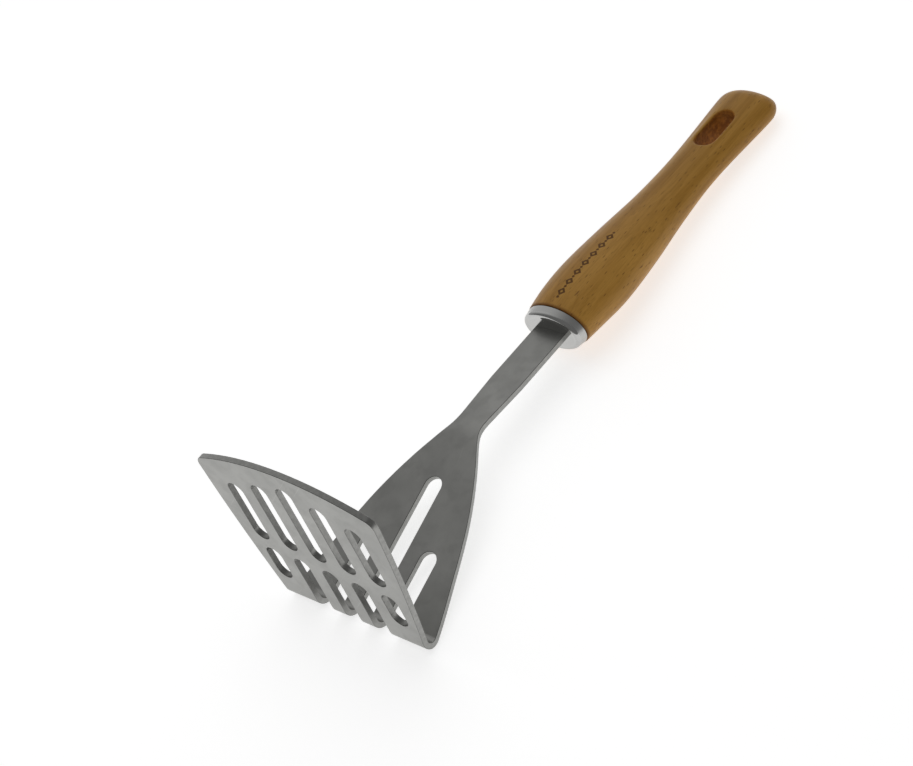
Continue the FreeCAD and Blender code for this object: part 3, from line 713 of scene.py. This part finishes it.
class MASHER_OT_handle(Operator):
    """Turn the waisted beech handle, cut its hanging hole and its mortise"""
    bl_idname = "masher.handle"
    bl_label = "Handle"

    def execute(self, context):
        handle = context.scene.masher_handle
        length, dome = handle.length / MM, handle.dome / MM
        half, run = handle.hole_width / MM / 2, (handle.hole_length - handle.hole_width) / MM / 2
        # Subdividing draws a cage in, so the cage is this much larger than the oval.
        grow = 1 / (1 - (1 - cos(2 * pi / CAGE_SIDES)) / 3)
        shoulder = CAP_LENGTH + FIT
        tenon = (CAP_INSIDE[0] - FIT, CAP_INSIDE[1] - FIT, CAP_RISE)
        places = [shoulder + row for row in EDGE_ROWS]
        places += [GRIP_START + GRIP_PITCH * i for i in range(GRIP_COUNT)]
        hole_rows = [HOLE_PLACE + (half + run) * share for share in HOLE_SHARES]
        places += [hole_rows[0] - BEFORE_HOLE] + hole_rows
        places += [length - dome + dome * sin(pi / 2 * i / DOME_STEPS) for i in range(DOME_STEPS + 1)]

        front = section_at(CAP_LENGTH, length, dome)
        rings = [(CAP_WALL + 0.05, *tenon), (CAP_WALL + 0.5, *tenon), (shoulder - 0.3, *tenon),
                 (shoulder, *tenon), (shoulder, tenon[0] + 0.5, tenon[1] + 0.5, CAP_RISE),
                 (shoulder, front[0] - 0.35, front[1] - 0.35, CAP_RISE)]
        rings += [(p, *section_at(p, length, dome)) for p in places]

        bpy.ops.object.select_all(action="DESELECT")
        bpy.ops.mesh.primitive_circle_add(vertices=CAGE_SIDES, radius=MM, fill_type="NOTHING",
                                          location=(0, 0, 0))
        piece = context.active_object
        piece.name = piece.data.name = "beech_handle"
        bpy.ops.object.mode_set(mode="EDIT")
        bpy.ops.mesh.select_all(action="SELECT")
        z, a, b, rise = rings[0]
        bpy.ops.transform.resize(value=(a * grow, b * grow, 1), center_override=(0, 0, 0))
        bpy.ops.transform.translate(value=(0, -rise * MM, z * MM))
        for (z0, a0, b0, r0), (z1, a1, b1, r1) in zip(rings, rings[1:]):
            step = (0, (r0 - r1) * MM, (z1 - z0) * MM)
            bpy.ops.mesh.extrude_edges_move(TRANSFORM_OT_translate={"value": step})
            bpy.ops.transform.resize(value=(a1 / a0, b1 / b0, 1), center_override=(0, -r1 * MM, z1 * MM))
        bpy.ops.mesh.fill_grid(span=CAGE_SIDES // 4)
        bpy.ops.object.mode_set(mode="OBJECT")
        self.cut_hole(piece, hole_rows, half, run)
        only(piece)
        bpy.ops.object.mode_set(mode="EDIT")
        bpy.ops.mesh.select_all(action="DESELECT")
        bpy.ops.mesh.select_non_manifold()
        bpy.ops.mesh.fill_grid(span=CAGE_SIDES // 4)
        bpy.ops.object.mode_set(mode="OBJECT")
        outward(piece)
        modify(piece, "SUBSURF", levels=SUBDIVISIONS, render_levels=SUBDIVISIONS)
        outward(piece)
        width, height, depth = MORTISE
        cutter = box_cutter((width, height, 2 * depth), (0, 0, 0))
        modify(piece, "BOOLEAN", operation="DIFFERENCE", solver="EXACT", object=cutter)
        bpy.data.objects.remove(cutter)
        to_handle_frame(piece)
        smooth(piece, HANDLE_SMOOTH)
        dress(piece, beech(tuple(handle.pale), tuple(handle.dark), handle.hole_length, handle.hole_width))
        finish_piece(piece, "beech", "handle")
        return {"FINISHED"}

    def cut_hole(self, piece, rows, half, run):
        """Open the faces above and below the hole, shape their rims to it and join them by its walls."""
        mesh = bmesh.new()
        mesh.from_mesh(piece.data)
        low, high = rows[0] * MM, rows[-1] * MM
        windows = []
        for side in (-1, 1):
            window = []
            for face in mesh.faces:
                c = face.calc_center_median()
                across = abs(c.x) < (half + WINDOW_SPARE) * MM
                if low < c.z < high and across and (c.y + HOLE_RISE * MM) * side > 0:
                    window.append(face)
            windows.append(window)
        for window in windows:
            verts = {v for face in window for v in face.verts}
            border = [v for v in verts if any(f not in window for f in v.link_faces)]
            self.shape_rim(border, half + RIM_SPARE, run)
            bmesh.ops.delete(mesh, geom=window, context="FACES")
        mesh.to_mesh(piece.data)
        mesh.free()

        only(piece)
        bpy.ops.object.mode_set(mode="EDIT")
        for side in (-1, 1):
            self.select_rims(piece, (side,), low, high)
            for drop, spare in HOLE_STEPS:
                bpy.ops.mesh.extrude_edges_move(
                    TRANSFORM_OT_translate={"value": (0, -side * drop * MM, 0)})
                self.resize_rim(piece, half + spare, run)
        self.select_rims(piece, (-1, 1), low, high)
        bpy.ops.mesh.bridge_edge_loops(number_cuts=HOLE_WALL_CUTS, interpolation="LINEAR")
        bpy.ops.object.mode_set(mode="OBJECT")

    def shape_rim(self, border, half, run):
        """Spread the points of an opening evenly round the hole's outline."""
        middle = HOLE_PLACE * MM
        count = len(border)

        def turn(v):
            return atan2(v.co.x, v.co.z - middle)

        border.sort(key=turn)
        first = min(range(count), key=lambda i: abs(border[i].co.x) - border[i].co.z)
        for i in range(count):
            x, z = stadium_point(i / count, half, run)
            v = border[(first + i) % count]
            v.co.x, v.co.z = x * MM, middle + z * MM

    def select_rims(self, piece, sides, low, high):
        """Select the hole's open edges on these sides of the handle: -1 is its top and 1 its underside."""
        near = HOLE_REACH * MM
        bpy.ops.mesh.select_all(action="DESELECT")
        bpy.ops.object.mode_set(mode="OBJECT")
        mesh = bmesh.new()
        mesh.from_mesh(piece.data)
        chosen = set()
        for edge in mesh.edges:
            c = (edge.verts[0].co + edge.verts[1].co) / 2
            side = 1 if c.y + HOLE_RISE * MM > 0 else -1
            if edge.is_boundary and low - near < c.z < high + near and side in sides:
                chosen.add(edge.index)
        mesh.free()
        for edge in piece.data.edges:
            edge.select = edge.index in chosen
        bpy.ops.object.mode_set(mode="EDIT")

    def resize_rim(self, piece, width, run):
        """Move the selected points to a round-ended slot of this half width."""
        bpy.ops.object.mode_set(mode="OBJECT")
        middle = HOLE_PLACE * MM
        for v in piece.data.vertices:
            if v.select:
                z = v.co.z - middle
                core = max(-run * MM, min(run * MM, z))
                arm = Vector((v.co.x, z - core))
                if arm.length > 0:
                    arm = arm.normalized() * width * MM
                v.co.x, v.co.z = arm.x, middle + core + arm.y
        bpy.ops.object.mode_set(mode="EDIT")


class MASHER_OT_resin(Operator):
    """Give the resin around the tang its finish"""
    bl_idname = "masher.resin"
    bl_label = "Resin"

    def execute(self, context):
        dress(frame["nodes"]["tang_adhesive"], cured_resin())
        return {"FINISHED"}


def soft_light(name, place, aim, side, power):
    """A square lamp that lights the pieces without being seen in their reflections."""
    bpy.ops.object.light_add(type="AREA", location=place)
    light = bpy.context.active_object
    light.name = name
    light.data.shape = "RECTANGLE"
    light.data.size, light.data.size_y, light.data.energy = side, side, power
    light.rotation_euler = (Vector(aim) - Vector(place)).to_track_quat("-Z", "Y").to_euler()
    light.visible_glossy = False


def window_sky(studio):
    """A dim sky with one wide soft window in it, low on the back left."""
    world = bpy.data.worlds.new("studio_sky")
    world.use_nodes = True
    nodes, links = world.node_tree.nodes, world.node_tree.links
    sky = next(n for n in nodes if n.type == "BACKGROUND")
    facing = nodes.new("ShaderNodeVectorMath")
    facing.operation = "DOT_PRODUCT"
    facing.inputs[1].default_value = WINDOW_WAY
    links.new(nodes.new("ShaderNodeTexCoord").outputs["Generated"], facing.inputs[0])
    strength = nodes.new("ShaderNodeMapRange")
    strength.interpolation_type = "SMOOTHSTEP"
    links.new(facing.outputs["Value"], strength.inputs["Value"])
    for name, amount in (("From Min", WINDOW_EDGE), ("From Max", 1.0),
                         ("To Min", studio.sky), ("To Max", studio.sky + studio.window)):
        strength.inputs[name].default_value = amount
    links.new(strength.outputs["Result"], sky.inputs["Strength"])
    sky.inputs["Color"].default_value = (1.0, 1.0, 1.0, 1.0)
    return world


class MASHER_OT_stage(Operator):
    """Lay the pale floor, light it softly and set the camera"""
    bl_idname = "masher.stage"
    bl_label = "Floor, lights and camera"

    def execute(self, context):
        studio = context.scene.masher_studio
        scene = context.scene
        bpy.ops.object.select_all(action="DESELECT")
        bpy.ops.mesh.primitive_plane_add(size=FLOOR_SIDE, location=(0, 0, 0))
        floor = context.active_object
        floor.name = floor.data.name = "studio_floor"
        dress(floor, studio_floor(tuple(studio.floor), studio.glow))

        soft_light("overhead_fill", LAMP_PLACE, LAMP_AIM, LAMP_SIDE, studio.fill)
        scene.world = window_sky(studio)

        bpy.ops.object.camera_add(location=CAMERA_PLACE, rotation=[radians(d) for d in CAMERA_TURN])
        camera = context.active_object
        camera.data.lens = CAMERA_LENS
        camera.data.sensor_width = CAMERA_SENSOR
        camera.data.clip_start = 0.01
        scene.camera = camera
        scene.view_settings.view_transform = "Standard"
        return {"FINISHED"}


class MASHER_PT_panel(Panel):
    bl_label = "Slotted masher"
    bl_idname = "MASHER_PT_panel"
    bl_space_type = "VIEW_3D"
    bl_region_type = "UI"
    bl_category = "Masher"

    def draw(self, context):
        for operator in OPERATORS:
            self.layout.operator(operator.bl_idname)


SETTINGS = {
    "masher_steel": MasherSteel,
    "masher_ferrule": MasherFerrule,
    "masher_handle": MasherHandle,
    "masher_studio": MasherStudio,
}
OPERATORS = (
    MASHER_OT_stage,
    MASHER_OT_sheet,
    MASHER_OT_ferrule,
    MASHER_OT_handle,
    MASHER_OT_resin,
)


def register():
    for cls in (*SETTINGS.values(), *OPERATORS, MASHER_PT_panel):
        bpy.utils.register_class(cls)
    for name, cls in SETTINGS.items():
        setattr(bpy.types.Scene, name, PointerProperty(type=cls))


def unregister():
    for name in SETTINGS:
        delattr(bpy.types.Scene, name)
    for cls in (MASHER_PT_panel, *reversed(OPERATORS), *SETTINGS.values()):
        bpy.utils.unregister_class(cls)


def main():
    register()
    for operator in OPERATORS:
        group, name = operator.bl_idname.split(".")
        getattr(getattr(bpy.ops, group), name)()


if __name__ == "__main__":
    main()
